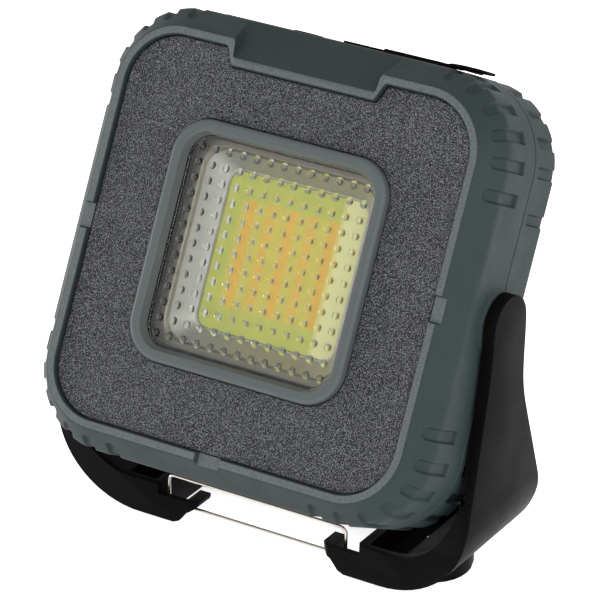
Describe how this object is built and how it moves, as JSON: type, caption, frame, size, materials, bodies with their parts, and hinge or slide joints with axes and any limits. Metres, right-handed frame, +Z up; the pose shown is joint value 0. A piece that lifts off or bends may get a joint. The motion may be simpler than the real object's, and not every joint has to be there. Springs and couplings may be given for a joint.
{
  "type": "work light",
  "caption": "Square rechargeable LED work light: a chunky chamfered head with a domed lens window, tilting in a U-shaped stand with magnetic feet and a wire hanging bail.",
  "frame": {"origin": "on the ground, under the middle of the whole light", "axes": "+Z up, the lamp faces -Y and leans back 27.4 degrees at rest, +X towards the charging-port end of the head"},
  "size_m": [0.1836, 0.1242, 0.195],
  "materials": {
    "housing_grey": "soft grey-green moulded plastic, fine satin grain",
    "panel_grey": "dark grey plastic with a coarse leather-like mould grain",
    "bezel_grey": "smooth satin grey plastic",
    "black_plastic": "satin black moulded plastic",
    "black_rubber": "matte black rubber",
    "lens_clear": "clear polycarbonate",
    "reflector_silver": "vacuum-metallised plastic",
    "phosphor": "yellow-green silicone phosphor with orange bands",
    "aluminium": "plain milled aluminium",
    "steel": "bright stainless steel",
    "dark_metal": "dark plated metal",
    "brass": "machined brass",
    "board_green": "green solder mask",
    "cell_wrap": "blue heat-shrink wrap",
    "tray_plastic": "off-white moulded plastic"
  },
  "bodies": {
    "stand": {"stand_bracket": "black_plastic", "foot_pad_right": "black_rubber", "foot_pad_left": "black_rubber", "foot_magnet_right": "dark_metal", "foot_magnet_left": "dark_metal", "foot_screw_right": "steel", "foot_screw_left": "steel", "pivot_insert_right": "brass", "pivot_insert_left": "brass", "pivot_bolt_right": "steel", "pivot_bolt_left": "steel", "friction_washer_right": "steel", "friction_washer_left": "steel"},
    "head": {"front_housing": "housing_grey", "rear_housing": "housing_grey", "housing_seal_top": "black_rubber", "housing_seal_bottom": "black_rubber", "front_panel": "panel_grey", "lens_bezel": "bezel_grey", "lens": "lens_clear", "lens_seal": "black_rubber", "reflector": "reflector_silver", "cob_emitter": "phosphor", "cob_board": "aluminium", "heat_sink": "aluminium", "heat_sink_screw_1": "steel", "heat_sink_screw_2": "steel", "heat_sink_screw_3": "steel", "heat_sink_screw_4": "steel", "housing_screw_1": "dark_metal", "housing_screw_2": "dark_metal", "housing_screw_3": "dark_metal", "housing_screw_4": "dark_metal", "battery_cell_right_1": "cell_wrap", "battery_cell_right_2": "cell_wrap", "battery_cell_left_1": "cell_wrap", "battery_cell_left_2": "cell_wrap", "battery_tray_right": "tray_plastic", "battery_tray_left": "tray_plastic", "driver_board": "board_green", "driver_coil": "dark_metal", "driver_capacitor": "dark_metal", "charge_board": "board_green", "usb_a_socket": "steel", "usb_c_socket": "steel", "switch_board": "board_green", "tact_switch": "dark_metal", "control_panel": "black_plastic", "indicator_light_pipe": "lens_clear"},
    "port_cover": {"port_cover": "black_rubber"},
    "power_button": {"power_button": "black_rubber"},
    "hanging_bail": {"hanging_bail": "steel"}
  },
  "joints": [
    {"name": "head_tilt", "type": "hinge", "parent": "stand", "child": "head", "pos_m": [0, 0.00245, 0.1083], "axis": [-1, 0, 0], "range_deg": [-170, 190]},
    {"name": "bail_swing", "type": "hinge", "parent": "stand", "child": "hanging_bail", "pos_m": [0, -0.02245, 0.0074], "axis": [-1, 0, 0], "range_deg": [0, 180]},
    {"name": "port_cover_flip", "type": "hinge", "parent": "head", "child": "port_cover", "pos_m": [0.0054, 0.0329, 0.19073], "axis": [0, -0.8878, 0.4602], "range_deg": [0, 150]},
    {"name": "power_button_press", "type": "slide", "parent": "head", "child": "power_button", "axis": [0, -0.4602, -0.8878], "range_m": [0, 0.0008], "stiffness_N_per_m": 600}
  ]
}
